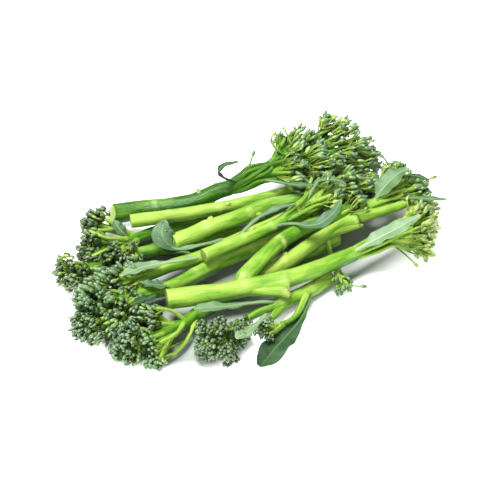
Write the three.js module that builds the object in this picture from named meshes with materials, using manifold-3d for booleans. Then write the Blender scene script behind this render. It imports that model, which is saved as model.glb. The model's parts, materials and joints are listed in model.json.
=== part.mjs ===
// A bunch of baby broccoli: twelve cut stems heaped in two layers, head to tail, lying on a flat surface.
// Each stem is a tapering stalk that forks into branchlets under a knobbly head of buds, with waxy leaves.
// Millimetres, +Z up. The origin is on the surface, under the middle of the bunch.
import * as THREE from 'three';
import { ConvexHull } from 'three/addons/math/ConvexHull.js';
import { mergeVertices } from 'three/addons/utils/BufferGeometryUtils.js';
import Module from 'manifold-3d';

const wasm = await Module();
wasm.setup();

// Driving dimensions
const bunchMiddle = [1.3, -14]; // where the routes' own zero lies, seen from the middle of the bunch
const crumb = 200; // cubic millimetres: a loose piece of head smaller than this is dropped
const gap = 0.3; // air kept between pieces that touch
const stalkSides = 7;
const stalkStep = 16; // length of stalk for each ring of the tube
const branchSides = 5;
const heelLean = 0.33; // how far a broken side shoot leans away from its stalk
const branchSteps = 2;
const branchRadius = [2.1, 1.5]; // a branch at its root and at its clump
const twigRadius = [1.3, 1]; // a twig from the branch to one lobe of a clump
const budPitch = 8.8; // buds are larger than life here: one for each patch this wide
const budDepth = 2; // how far the hollows between buds go in
const lobeReach = 0.52; // how far out a lobe's middle sits, as a share of the clump's radius
const lobeRadius = 0.54; // a lobe's own radius, as a share of the clump's
const coreRadius = 0.72; // a clump is never thinner than this share of its radius
const bladeThickness = 0.8;
const ribDepth = 2.2; // thickness of a leaf along its midrib
const goldenAngle = Math.PI * (3 - Math.sqrt(5));

// The stems. A route runs from the cut end to the middle of the head, along the stalk's centre line.
// A head is one or more clumps of buds, each a middle and a radius; the first is on the stalk's end.
// A midrib runs from the stalk to the leaf's tip; petiole is the share of it that has no blade.
// crown is the share of the stalk, from its end, that holds branches.
// A scar is the broken base of a leaf: its share of the stalk's length and the way it points.
// One with a heel is that of a side shoot, which runs beside the stalk for that length.
// waist is where a stalk becomes much thinner, and a limb is a side branch with a radius at each end.
// A leaf is blunt or runs to a point.
const stems = [
  {
    name: 'outer_left', seed: 1, cut: 4.8, fork: 2.6,
    route: [[18, 21, 4.8], [-27, 0, 4.8], [-60, -7, 4.8], [-84, -21, 7], [-104, -33, 11]],
    clumps: [[-105.5, -33, 11, 11.5], [-96, -40, 12, 10.5]],
  },
  {
    name: 'rear_left', seed: 2, cut: 4.8, fork: 2.4,
    route: [[21, 46, 4.8], [-22, 24, 4.8], [-43.5, 17, 4.8], [-60, 9.5, 5], [-77.5, -5, 8], [-93, -14, 12]],
    clumps: [[-93, -14, 13, 12], [-92, 7, 15, 10.5], [-81, -20, 12, 10.5], [-71, -20, 11, 8.5]],
    leaves: [
      {
        width: 6, petiole: 0.2, wave: 0.5,
        midrib: [[-52, -4, 6], [-48, -13, 11], [-41, -16.5, 13], [-35, -18.5, 13]],
      },
      {
        width: 8, petiole: 0.2, wave: 0.6,
        midrib: [[-73, 0, 8], [-76, 1, 13], [-79, 3, 16], [-81, 6.5, 18]],
      },
    ],
  },
  {
    name: 'middle_left', seed: 3, cut: 4.8, fork: 2.6,
    route: [
      [37.5, 26, 11.5], [-6, -3, 10.6], [-27, -16.5, 9.4], [-46, -26, 10], [-61, -38, 12],
      [-79, -48, 16],
    ],
    clumps: [[-81, -49, 17, 12], [-72, -38, 15, 10], [-71, -56, 13, 9.5]],
    leaves: [
      {
        width: 9, petiole: 0.5, wave: 0.7,
        midrib: [
          [-28, -18, 10], [-38, -26.5, 15], [-49.5, -33, 18], [-61, -40, 21], [-69, -48, 24],
          [-74, -54, 26],
        ],
      },
      {
        width: 15, petiole: 0.62, wave: 1.5,
        midrib: [
          [-8, -5, 11], [-18, -8, 14], [-35, -14, 14], [-46, -15, 14.5], [-52, -9, 20], [-50, 1, 22.5],
        ],
      },
    ],
  },
  {
    name: 'front_left', seed: 4, cut: 5.2, fork: 3,
    route: [
      [37, 14, 10.5], [9.5, -5, 10.2], [-16.5, -21, 9.2], [-44, -42.5, 8.6], [-63, -54, 11.5],
      [-86, -67, 16],
    ],
    clumps: [[-87, -67, 17, 15], [-92, -80, 11, 12.5], [-72.5, -71, 14, 12], [-80, -85, 10, 10]],
    leaves: [
      {
        width: 8, petiole: 0.15, wave: 0.7,
        midrib: [[-46, -44, 10], [-50, -48.5, 14], [-56.5, -51, 17], [-63, -51, 19]],
      },
      {
        width: 7, petiole: 0.15, wave: 0.6,
        midrib: [[-53, -51, 10], [-57, -59, 14], [-62, -66, 18], [-67.5, -72, 20]],
      },
    ],
  },
  {
    name: 'front', seed: 5, cut: 5.2, fork: 3,
    route: [[51.5, 5, 5.2], [7, -29, 5.2], [-25.5, -59, 5.2], [-42, -78.5, 8], [-62, -95, 13]],
    clumps: [[-64, -95, 13, 14], [-57, -79.5, 13.5, 11], [-54, -103.5, 9, 10], [-71, -99, 9, 9]],
  },
  {
    name: 'front_middle', seed: 6, cut: 4.4, fork: 3.2, waist: 0.43,
    route: [[46.5, -30, 4.6], [35, -42.5, 5.2], [17.5, -55.5, 6.5], [0, -71, 9.5], [-15, -95, 15]],
    clumps: [[-16, -96.5, 14.5, 16.5], [-4, -83, 12, 6.5]],
    leaves: [
      {
        width: 15.5, petiole: 0.2, wave: 1.2, blunt: true,
        midrib: [
          [35, -47, 6], [33, -56, 4.5], [28, -68, 3.6], [20.5, -80, 3], [13.5, -91, 2.6], [6, -104.5, 2.4],
        ],
      },
      {
        width: 8, petiole: 0.45, wave: 0.5, blunt: true,
        midrib: [
          [17, -56, 8], [7, -61, 12.5], [-3, -64.5, 14], [-14, -68, 15], [-25, -70, 16], [-32, -71, 16],
        ],
      },
      {
        width: 8, petiole: 0.45, wave: 0.5, blunt: true,
        midrib: [[9, -68, 9], [6, -80, 14], [2, -90.5, 18], [-2.5, -99.5, 22], [-7.5, -106, 24]],
      },
    ],
    limbs: [{ radii: [2.9, 2], route: [[23, -52.5, 6.2], [16.5, -61.5, 6.2], [12, -70, 7.5]] }],
    shoots: [
      {
        root: 2, clumps: [[10, -81, 9, 7.5]],
        route: [[33, -48, 7], [26, -66, 6], [17, -76, 8], [10, -81, 9]],
      },
    ],
  },
  {
    name: 'rear_right', seed: 7, cut: 6.2, fork: 2.6, loose: true, crown: 0.4,
    route: [
      [-84, 26.5, 6.4], [-67, 30.5, 6.4], [-54, 31.5, 6.8], [-38.5, 33.5, 8.5], [-28.5, 36, 11],
      [-19, 39.5, 14], [-7.5, 40, 18], [7, 44, 25], [31, 54, 32],
    ],
    clumps: [
      [33, 56, 33, 14.5], [53, 70, 33, 15.5], [45, 46, 29, 14.5], [64, 60, 29, 14], [29, 40, 29, 11],
      [22, 64, 33, 7.5],
    ],
    leaves: [
      {
        width: 5, petiole: 0.3, wave: 0.3,
        midrib: [[-8, 39, 21], [-15, 33, 29], [-19, 32, 34], [-15, 33, 39], [-7, 35, 40]],
      },
      {
        width: 5, petiole: 0.6, wave: 0.4,
        midrib: [[4, 41, 22], [11, 36, 25], [21, 29.5, 28], [30, 23.5, 31], [37.5, 20, 34]],
      },
    ],
    scars: [{ at: 0.4, way: [-0.3, 0.2, 1] }],
  },
  {
    name: 'inner_right', seed: 8, cut: 4.2, fork: 2.8, loose: true, crown: 0.4,
    route: [
      [-71.5, 10, 14.2], [-48, 14.7, 14.2], [-20, 22, 14.2], [0, 29, 14], [30, 41, 14.5], [65, 58, 15],
    ],
    clumps: [[66, 58, 15, 13.5], [73, 64, 17, 11], [61, 46, 13, 12]],
    scars: [{ at: 0.37, way: [0.4, -0.2, 1] }],
  },
  {
    name: 'middle_right', seed: 9, cut: 5.4, fork: 2.6, loose: true, crown: 0.3,
    route: [
      [-45.5, -9.8, 14], [-35.5, -4.8, 14.6], [-26.5, 0.5, 15.4], [-6, 11, 16.6], [7, 19, 17.2],
      [21, 23.5, 18], [57.5, 29.5, 21],
    ],
    clumps: [[60.5, 32, 20, 11], [71, 38, 17, 11]],
    scars: [{ at: 0.18, way: [-0.2, 0.4, 1] }, { at: 0.45, way: [0.4, -0.8, 0] }],
  },
  {
    name: 'top_right', seed: 10, cut: 4.2, fork: 2.6, loose: true, crown: 0.35,
    route: [[-27, -28, 19], [-6, -15.5, 19.6], [14, -3, 21], [31, 9, 25], [48, 20, 29]],
    clumps: [[49, 21, 29, 10], [42, 31, 29, 9], [56, 35, 27, 10]],
    leaves: [
      {
        width: 9, petiole: 0.35, wave: 0.7,
        midrib: [
          [13, -4, 21], [20, -6, 25], [26.5, -8.5, 27.5], [34, -13, 29.5], [42, -12, 31], [49.5, -5, 33.5],
          [54, 4, 36],
        ],
      },
      {
        width: 4.5, petiole: 0.3, wave: 0.4,
        midrib: [[34, 14, 28], [39.5, 21, 34], [44, 21, 37.5], [51, 18.5, 39], [57, 15.5, 38.5]],
      },
      {
        width: 4.5, petiole: 0.5, wave: 0.5,
        midrib: [[-7, -13, 21], [4, -3, 26.5], [15, 3, 29], [27, 6, 31]],
      },
    ],
  },
  {
    name: 'outer_right', seed: 11, cut: 4.8, fork: 2.4, loose: true, crown: 0.28,
    route: [
      [7, -38.5, 12], [23.5, -25.5, 13.8], [47.5, -0.5, 15.4], [66.5, 14, 16.8], [75.5, 22.5, 17.5],
      [99, 33, 19],
    ],
    clumps: [[102, 33, 18, 9.5], [90.5, 47, 21, 9.5], [97, 41, 19, 9], [84, 49, 21, 6.5]],
    leaves: [
      {
        width: 14, petiole: 0.2, wave: 0.9,
        midrib: [[74, 21.5, 18], [78, 25, 24], [84.5, 30.5, 29], [90.5, 34.5, 32], [96, 36.5, 34]],
      },
      {
        width: 4.5, petiole: 0.3, wave: 0.3,
        midrib: [[90, 26, 18.5], [98, 20, 24], [108, 14.5, 27.5], [117.5, 14, 28]],
      },
      {
        width: 4, petiole: 0.3, wave: 0.3,
        midrib: [[91, 42, 24], [98, 37, 28], [102.5, 33.5, 29.5], [108, 30.5, 29.5]],
      },
    ],
    scars: [{ at: 0.44, way: [0.55, -0.8, -0.15], heel: 22 }, { at: 0.12, way: [-0.4, 0.5, 1] }],
    limbs: [{ radii: [3.5, 2.3], route: [[64, 11, 16.4], [77, 15, 17], [86.5, 18.5, 17.5], [96, 23, 18]] }],
    shoots: [
      {
        root: 1.6, clumps: [[54, -40, 7, 6.5]],
        route: [[46, -2, 14], [48, -9, 4.5], [52, -21, 4], [54, -38, 6]],
      },
    ],
  },
  {
    name: 'front_right', seed: 12, cut: 5.9, fork: 2.6, loose: true, crown: 0.34,
    route: [
      [-47.5, -62.5, 15.6], [-19.5, -57, 15.8], [0, -52, 16], [29, -41, 15.8], [58.5, -23, 15],
      [82, -7, 14.5], [103, 8, 15],
    ],
    clumps: [[104, 9, 16, 11.5], [103, -4.5, 10, 9.5], [105, 21, 17, 10], [96.5, 2.5, 12, 9.5]],
    leaves: [
      {
        width: 12, petiole: 0.2, wave: 0.7,
        midrib: [
          [59, -23, 17], [68, -21, 22], [79, -17, 26], [88, -13.5, 29], [95, -9.5, 31], [100.5, -6, 32],
        ],
      },
    ],
    scars: [{ at: 0.27, way: [0.1, -1, -0.2], heel: 25 }],
    shoots: [
      {
        root: 5.2, clumps: [[62, 18, 18, 11]],
        route: [
          [-6, -53, 16], [-2, -45, 19], [8, -33, 22.2], [20, -17, 22.5], [33.5, -5, 21.5], [48, 5, 20],
          [60, 15, 19],
        ],
      },
    ],
  },
];

const colours = {
  stalk: 0x8db545,
  tightHead: 0x2f5230,
  looseHead: 0x4a7234,
  leaf: 0x4f7a56,
};

// A repeatable scatter between -1 and 1
function scatter(seed, k) {
  const wave = Math.abs(Math.sin(seed * 12.9898 + k * 78.233)) * 43758.5453;
  return 2 * (wave - Math.floor(wave)) - 1;
}

function toVectors(points) {
  return points.map(([x, y, z]) => new THREE.Vector3(x - bunchMiddle[0], y - bunchMiddle[1], z));
}

function curveThrough(points) {
  return new THREE.CatmullRomCurve3(toVectors(points), false, 'catmullrom', 0.5);
}

// A closed three.js geometry as a solid for joining and cutting
function solidFrom(geometry) {
  geometry.deleteAttribute('normal');
  geometry.deleteAttribute('uv');
  const merged = mergeVertices(geometry, 1e-4);
  const mesh = new wasm.Mesh({
    numProp: 3,
    vertProperties: new Float32Array(merged.attributes.position.array),
    triVerts: new Uint32Array(merged.index.array),
  });
  return new wasm.Manifold(mesh);
}

function geometryFrom(solid) {
  const mesh = solid.getMesh();
  const geometry = new THREE.BufferGeometry();
  const places = new Float32Array(mesh.numVert * 3);
  for (let i = 0; i < mesh.numVert; i++) {
    const start = i * mesh.numProp;
    places.set(mesh.vertProperties.subarray(start, start + 3), i * 3);
  }
  geometry.setAttribute('position', new THREE.BufferAttribute(places, 3));
  geometry.setIndex(new THREE.BufferAttribute(new Uint32Array(mesh.triVerts), 1));
  geometry.computeVertexNormals();
  return geometry;
}

// The pieces that cutting has left of a solid, largest first
function piecesOf(solid) {
  return solid.decompose().sort((a, b) => b.volume() - a.volume());
}

function boxesMeet(a, b) {
  const p = a.boundingBox();
  const q = b.boundingBox();
  return [0, 1, 2].every((k) => p.min[k] <= q.max[k] && q.min[k] <= p.max[k]);
}

function cutBy(solid, others) {
  const near = others.filter((other) => boxesMeet(solid, other));
  return near.reduce((left, other) => left.subtract(other), solid);
}

// A tube bent from a cylinder along a curve, with its own radius at each share of the length
function tube(curve, radiusAt, sides, steps) {
  const geometry = new THREE.CylinderGeometry(1, 1, 1, sides, steps);
  const frames = curve.computeFrenetFrames(steps);
  const place = geometry.attributes.position;
  for (let i = 0; i < place.count; i++) {
    const step = Math.round((place.getY(i) + 0.5) * steps);
    const across = place.getX(i) * radiusAt(step / steps);
    const up = -place.getZ(i) * radiusAt(step / steps);
    const point = curve.getPointAt(step / steps);
    point.addScaledVector(frames.normals[step], across);
    point.addScaledVector(frames.binormals[step], up);
    place.setXYZ(i, point.x, point.y, point.z);
  }
  return solidFrom(geometry);
}

// The stalk hardly thins until it nears its head
function stalkRadius(stem, share) {
  const waist = 1 - 0.42 * THREE.MathUtils.clamp((share - (stem.waist ?? 2)) / 0.08, 0, 1);
  return waist * THREE.MathUtils.lerp(stem.cut, stem.fork, 0.5 * share + 0.5 * share ** 4);
}

function stalkTube(stem, grow) {
  const curve = curveThrough(stem.route);
  const steps = Math.round(curve.getLength() / stalkStep);
  return tube(curve, (share) => stalkRadius(stem, share) + grow, stalkSides, steps);
}

function clumpsOf(part) {
  const curve = curveThrough(part.route);
  const length = curve.getLength();
  return part.clumps.map(([x, y, z, radius], i) => {
    const [middle] = toVectors([[x, y, z]]);
    const ask = radius * 1.5 + (i > 0 ? 0.8 * middle.distanceTo(curve.getPointAt(1)) : 0);
    const back = Math.min(length * (part.crown ?? 0.9) * (1 - 0.1 * i), ask);
    const root = curve.getPointAt(1 - back / length);
    const axis = middle.clone().sub(root).normalize();
    const seed = part.seed + 0.37 * i;
    return { middle, radius, root, axis, seed, lobes: lobesOf(middle, radius, axis, seed) };
  });
}

// Lobes of a clump: the first on its axis, the rest in a spiral round it
function lobesOf(middle, radius, axis, seed) {
  const turn = new THREE.Quaternion().setFromUnitVectors(new THREE.Vector3(0, 0, 1), axis);
  const count = Math.round(3 + radius / 3);
  const lobes = [];
  for (let i = 0; i < count; i++) {
    const lean = THREE.MathUtils.degToRad(118) * Math.sqrt(i / (count - 1));
    const around = i * goldenAngle + seed + 0.3 * scatter(seed, i);
    const way = new THREE.Vector3().setFromSphericalCoords(1, lean, around);
    way.set(way.x, way.z, way.y).applyQuaternion(turn);
    const size = lobeRadius * radius * (1 + 0.12 * scatter(seed, i + 20));
    const offset = way.clone().multiplyScalar(lobeReach * radius);
    lobes.push({ way, offset, radius: size });
  }
  return lobes;
}

// How far the clump reaches from its middle in one direction
function clumpReach(clump, way) {
  let reach = coreRadius * clump.radius;
  for (const lobe of clump.lobes) {
    const along = lobe.offset.dot(way);
    const inside = along * along - lobe.offset.lengthSq() + lobe.radius * lobe.radius;
    if (inside > 0) reach = Math.max(reach, along + Math.sqrt(inside));
  }
  return reach;
}

// A clump: bud tips spread evenly over the lobes, joined to the hollows between them
function clumpSolid(clump, grow) {
  const count = Math.round((4 * Math.PI * clump.radius ** 2) / budPitch ** 2);
  const tips = [];
  for (let i = 0; i < count; i++) {
    const height = 1 - (2 * (i + 0.5)) / count;
    const ring = Math.sqrt(1 - height * height);
    const around = i * goldenAngle + clump.seed;
    tips.push(new THREE.Vector3(ring * Math.cos(around), ring * Math.sin(around), height));
  }
  const hull = new ConvexHull().setFromPoints(tips);
  const places = [];
  const addFace = (...corners) => corners.forEach((corner) => places.push(corner.x, corner.y, corner.z));
  const outTo = (way, depth) => {
    const reach = clumpReach(clump, way) - depth + grow;
    return way.clone().multiplyScalar(reach).add(clump.middle);
  };
  const hollowOf = (face) => outTo(face.midpoint.clone().normalize(), budDepth);
  for (const face of hull.faces) {
    let edge = face.edge;
    do {
      addFace(outTo(edge.tail().point, 0), hollowOf(edge.twin.face), hollowOf(face));
      edge = edge.next;
    } while (edge !== face.edge);
  }
  const geometry = new THREE.BufferGeometry();
  geometry.setAttribute('position', new THREE.Float32BufferAttribute(places, 3));
  return solidFrom(geometry);
}

function headSolid(part, grow) {
  const solids = clumpsOf(part).map((clump) => clumpSolid(clump, grow));
  return solids.reduce((joined, solid) => joined.add(solid));
}

function bentTwig(from, bend, to, radii, grow) {
  const route = new THREE.QuadraticBezierCurve3(from, bend, to);
  const radiusAt = (along) => THREE.MathUtils.lerp(radii[0], radii[1], along) + grow;
  return tube(route, radiusAt, branchSides, branchSteps);
}

// Branches from the stalk to each clump beside it, and in loose heads twigs to the clumps' outer lobes
function branchesOf(part, grow) {
  const twigs = [];
  clumpsOf(part).forEach((clump, i) => {
    const start = clump.root.clone();
    const aside = clump.axis.clone().cross(new THREE.Vector3(0, 0, 1));
    const side = clump.middle.clone().lerp(start, 0.5);
    side.addScaledVector(aside, 0.2 * clump.radius * scatter(clump.seed, 7));
    if (i > 0) twigs.push(bentTwig(start, side, clump.middle, branchRadius, grow));
    const outer = clump.lobes.slice(-(part.loose ? 2 : 1));
    outer.forEach((lobe, j) => {
      const from = start.clone().lerp(clump.middle, 0.12 * j);
      const tip = clump.middle.clone().addScaledVector(lobe.offset, 1);
      const bend = from.clone().lerp(tip, 0.5).addScaledVector(lobe.way, 0.15 * clump.radius);
      twigs.push(bentTwig(from, bend, tip, twigRadius, grow));
    });
  });
  return twigs;
}

function scarTube(stem, scar) {
  const curve = curveThrough(stem.route);
  const from = curve.getPointAt(scar.at);
  const thick = stalkRadius(stem, scar.at);
  const lean = new THREE.Vector3(...scar.way).setLength(scar.heel ? heelLean : 1);
  const way = lean.add(curve.getTangentAt(scar.at)).normalize();
  const to = from.clone().addScaledVector(way, scar.heel ?? 1.25 * thick + 0.9);
  const [root, end] = scar.heel ? [0.8 * thick, 0.7 * thick] : [3.2, 2];
  return tube(new THREE.LineCurve3(from, to), (along) => root + (end - root) * along, branchSides, 1);
}

function limbTube(limb, grow) {
  const curve = curveThrough(limb.route);
  const [root, end] = limb.radii;
  return tube(curve, (share) => root + (end - root) * share + grow, branchSides, limb.route.length);
}

function shootTube(shoot, grow) {
  const curve = curveThrough(shoot.route);
  const steps = Math.round(curve.getLength() / stalkStep) + 2;
  const sides = shoot.root > 3 ? stalkSides : branchSides;
  return tube(curve, (share) => shoot.root * (1 - 0.3 * share) + grow, sides, steps);
}

// How wide a leaf is at a share of its length: a narrow petiole, then a lance-shaped blade
function leafWidth(leaf, share) {
  const stem = 1.3;
  if (share <= leaf.petiole) return stem;
  const along = (share - leaf.petiole) / (1 - leaf.petiole);
  const pointed = Math.sin(Math.PI * along ** 0.8) ** 0.8 * (1 - 0.15 * along);
  const blunt = Math.min(1, 1.8 * along) * Math.sqrt(1 - along ** 6);
  return stem + (leaf.width / 2 - stem) * (leaf.blunt ? blunt : pointed);
}

// A leaf: a grid swept along its midrib, folded up along the rib, waved at the edges and closed underneath
function leafSolid(leaf, grow) {
  const curve = curveThrough(leaf.midrib);
  const steps = Math.max(6, Math.round(curve.getLength() / 7));
  const half = leaf.width > 8.5 ? 2 : 1;
  const grid = [];
  for (let i = 0; i <= steps; i++) {
    const share = i / steps;
    const point = curve.getPointAt(share);
    const tangent = curve.getTangentAt(share);
    const side = new THREE.Vector3(0, 0, 1).cross(tangent).normalize();
    const normal = tangent.clone().cross(side).normalize();
    const width = leafWidth(leaf, share) + grow;
    const row = [];
    for (let j = -half; j <= half; j++) {
      const out = j / half;
      const edge = Math.abs(out);
      const wave = leaf.wave * edge * Math.sin(share * 19 + Math.sign(out)) * Math.min(1, width / 4);
      const lift = 0.22 * width * edge + wave;
      const top = point.clone().addScaledVector(side, out * width).addScaledVector(normal, lift + grow);
      const thick = THREE.MathUtils.lerp(ribDepth * (1 - 0.6 * share), bladeThickness, edge) + 2 * grow;
      row.push({ top, under: top.clone().addScaledVector(normal, -thick) });
    }
    grid.push(row);
  }
  const places = [];
  const addFace = (...corners) => corners.forEach((corner) => places.push(corner.x, corner.y, corner.z));
  const addQuad = (a, b, c, d) => {
    addFace(a, b, c);
    addFace(a, c, d);
  };
  const last = 2 * half;
  for (let i = 0; i < steps; i++) {
    for (let j = 0; j < last; j++) {
      addQuad(grid[i][j].top, grid[i + 1][j].top, grid[i + 1][j + 1].top, grid[i][j + 1].top);
      addQuad(grid[i][j + 1].under, grid[i + 1][j + 1].under, grid[i + 1][j].under, grid[i][j].under);
    }
    addQuad(grid[i][0].under, grid[i + 1][0].under, grid[i + 1][0].top, grid[i][0].top);
    addQuad(grid[i][last].top, grid[i + 1][last].top, grid[i + 1][last].under, grid[i][last].under);
  }
  for (let j = 0; j < last; j++) {
    addQuad(grid[0][j].under, grid[0][j].top, grid[0][j + 1].top, grid[0][j + 1].under);
    addQuad(grid[steps][j].top, grid[steps][j].under, grid[steps][j + 1].under, grid[steps][j + 1].top);
  }
  const geometry = new THREE.BufferGeometry();
  geometry.setAttribute('position', new THREE.Float32BufferAttribute(places, 3));
  return solidFrom(geometry);
}

function onSurface(solid) {
  return solid.trimByPlane([0, 0, 1], 0);
}

// Every stalk, shoot and head, each with a slightly larger copy that others are cut back from
const allParts = [];
for (const stem of stems) {
  const own = { ...stem, stem, tube: stalkTube(stem, 0), room: stalkTube(stem, gap), thick: true };
  const shoots = (stem.shoots ?? []).map((shoot, i) => ({
    ...shoot,
    stem,
    name: `${stem.name}_shoot${i ? `_${i + 1}` : ''}`,
    seed: stem.seed + 0.5 + i,
    loose: stem.loose,
    tube: shootTube(shoot, 0),
    room: shootTube(shoot, gap),
    thick: shoot.root > 3,
  }));
  stem.parts = [own, ...shoots];
  allParts.push(...stem.parts);
}
allParts.forEach((part) => (part.headRoom = headSolid(part, gap)));

const bunch = new THREE.Group();
function addPiece(name, solid, colour, roughness) {
  const material = new THREE.MeshStandardMaterial({ color: colour, roughness, metalness: 0 });
  const mesh = new THREE.Mesh(geometryFrom(solid), material);
  mesh.name = name;
  bunch.add(mesh);
}

// Heads: hollowed where a stalk runs in, and cut back from the heads placed before them
allParts.forEach((part, i) => {
  const stalks = allParts.filter((other) => other.thick || other === part).map((other) => other.room);
  const before = allParts.slice(0, i).map((other) => other.headRoom);
  const pieces = piecesOf(onSurface(cutBy(headSolid(part, 0), [...stalks, ...before])));
  pieces.forEach((piece, j) => {
    if (j > 0 && piece.volume() < crumb) return;
    const name = `head_${part.name}${j ? `_side_${j}` : ''}`;
    addPiece(name, piece, part.loose ? colours.looseHead : colours.tightHead, 0.75);
  });
});

// Stalks with their shoots, branches and scars, which give way to the heads and to the stems before them
const branchRooms = [];
const stalkRooms = [];
const limbRooms = [];
for (const stem of stems) {
  const [own, ...shoots] = stem.parts;
  const others = allParts.filter((part) => part.thick && part.stem !== stem).map((part) => part.room);
  const headRooms = allParts.map((part) => part.headRoom);
  const before = [...stalkRooms, ...branchRooms, ...limbRooms];
  let solid = cutBy(own.tube, before);
  for (const shoot of shoots) {
    const otherHeads = allParts.filter((part) => part !== shoot).map((part) => part.headRoom);
    solid = solid.add(cutBy(shoot.tube, shoot.thick ? before : [...before, ...others, ...otherHeads]));
  }
  for (const scar of stem.scars ?? []) {
    solid = solid.add(cutBy(scarTube(stem, scar), [...before, ...others, ...headRooms]));
  }
  for (const limb of stem.limbs ?? []) {
    solid = solid.add(cutBy(limbTube(limb, 0), [...before, ...others, ...headRooms]));
    limbRooms.push(limbTube(limb, gap));
  }
  for (const part of stem.parts) {
    const rooms = branchesOf(part, gap);
    branchesOf(part, 0).forEach((twig, i) => {
      const whole = cutBy(twig, [part.headRoom]);
      const free = cutBy(whole, [...others, ...headRooms, ...branchRooms]);
      if (whole.volume() < 8 || free.volume() < 0.8 * whole.volume()) return;
      solid = solid.add(free);
      branchRooms.push(rooms[i]);
    });
  }
  addPiece(`stalk_${stem.name}`, piecesOf(onSurface(solid))[0], colours.stalk, 0.45);
  stalkRooms.push(...stem.parts.map((part) => part.room));
}

// Leaves: cut back from everything else
const leafRooms = [];
for (const stem of stems) {
  (stem.leaves ?? []).forEach((leaf, i) => {
    const rooms = allParts.flatMap((part) => [part.room, part.headRoom]);
    const solid = cutBy(leafSolid(leaf, 0), [...rooms, ...branchRooms, ...limbRooms, ...leafRooms]);
    addPiece(`leaf_${stem.name}_${i + 1}`, piecesOf(onSurface(solid))[0], colours.leaf, 0.6);
    leafRooms.push(leafSolid(leaf, gap));
  });
}

export default bunch;
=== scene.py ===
import json
import math
import random

import bmesh
import bpy
from mathutils import Matrix, Vector, noise

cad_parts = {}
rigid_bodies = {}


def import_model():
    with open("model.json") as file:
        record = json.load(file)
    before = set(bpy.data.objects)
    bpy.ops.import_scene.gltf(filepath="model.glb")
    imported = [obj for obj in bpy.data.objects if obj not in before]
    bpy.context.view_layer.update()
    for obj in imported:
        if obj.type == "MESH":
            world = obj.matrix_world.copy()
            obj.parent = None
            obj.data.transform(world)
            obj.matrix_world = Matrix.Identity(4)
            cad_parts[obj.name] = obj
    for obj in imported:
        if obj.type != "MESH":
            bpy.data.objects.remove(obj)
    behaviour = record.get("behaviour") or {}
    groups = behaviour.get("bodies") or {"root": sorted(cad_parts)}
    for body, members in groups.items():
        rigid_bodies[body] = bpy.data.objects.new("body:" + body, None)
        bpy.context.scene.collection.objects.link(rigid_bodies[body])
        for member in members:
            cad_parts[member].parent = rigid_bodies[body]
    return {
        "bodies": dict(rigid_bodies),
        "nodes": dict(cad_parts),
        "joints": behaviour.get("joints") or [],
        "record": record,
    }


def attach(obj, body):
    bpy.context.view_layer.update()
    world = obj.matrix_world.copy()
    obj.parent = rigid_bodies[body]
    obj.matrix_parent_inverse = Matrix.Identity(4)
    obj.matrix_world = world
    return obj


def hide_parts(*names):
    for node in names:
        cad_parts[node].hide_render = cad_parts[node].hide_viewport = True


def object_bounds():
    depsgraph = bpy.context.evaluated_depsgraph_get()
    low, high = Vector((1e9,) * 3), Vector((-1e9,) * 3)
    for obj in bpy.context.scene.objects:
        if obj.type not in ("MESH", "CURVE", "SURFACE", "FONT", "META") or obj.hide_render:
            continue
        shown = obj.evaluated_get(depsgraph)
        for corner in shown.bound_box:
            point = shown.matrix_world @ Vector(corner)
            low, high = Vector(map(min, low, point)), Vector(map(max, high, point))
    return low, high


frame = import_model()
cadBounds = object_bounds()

mm = 0.001
bunchMiddle = (1.3, -14)  # the routes' own zero, seen from the middle of the bunch, in mm
goldenAngle = math.pi * (3 - math.sqrt(5))
up = Vector((0, 0, 1))

# How each kind of head grows, in mm. Buds stand in umbels, and umbels stand on the lobes of a clump.
# umbel is how far apart the umbels are, fill how closely buds stand in one, forward how far they lean to the
# head's own direction, bare the back of a clump that has none, and wild how unruly they are.
headLooks = {
    "beads": dict(length=3.2, width=2.5, spread=0.22, umbel=6.5, fill=0.85, height=8.0, dome=0.4, forward=0.5,
                  bare=-0.15, wild=0.22, core=0.38, thread=0.36),
    "tight": dict(length=4.1, width=2.3, spread=0.3, umbel=6.4, fill=0.72, height=9.5, dome=0.25,
                  forward=0.72, bare=0.05, wild=0.34, core=0.42, thread=0.38),
    "large": dict(length=4.9, width=2.9, spread=0.36, umbel=7.4, fill=0.8, height=10.5, dome=0.25,
                  forward=0.62, bare=0.0, wild=0.32, core=0.4, thread=0.5),
    "open": dict(length=5.4, width=2.7, spread=0.3, umbel=8.0, fill=0.4, height=12.0, dome=0.2, forward=0.7,
                 bare=-0.3, wild=0.45, core=0, thread=0.45),
    "loose": dict(length=5.2, width=2.7, spread=0.35, umbel=8.4, fill=0.5, height=13.0, dome=0.2,
                  forward=0.68, bare=-0.2, wild=0.6, core=0.35, thread=0.42),
}

# The stems, in mm. Routes run from the cut end to the middle of the head. Clumps are x, y, z and radius, and
# may name a look of their own. tone runs from 0, lime, to 1, deep green; tint names the colour of the buds.
# nodes are the swollen rings where a leaf grew: share of the stalk, the side it is on, and how strong it is.
# waist is where a stalk becomes much thinner. A scar with a heel is a torn side shoot that runs beside it.
# A blade says its width, the petiole's share of its length, how wavy it is and the points of its midrib.
stems = {}


def addStem(name, **values):
    stems[name] = {"seed": len(stems) + 1, **values}


def blade(width, petiole, wave, *midrib, **more):
    return {"width": width, "petiole": petiole, "wave": wave, "midrib": midrib, **more}


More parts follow.
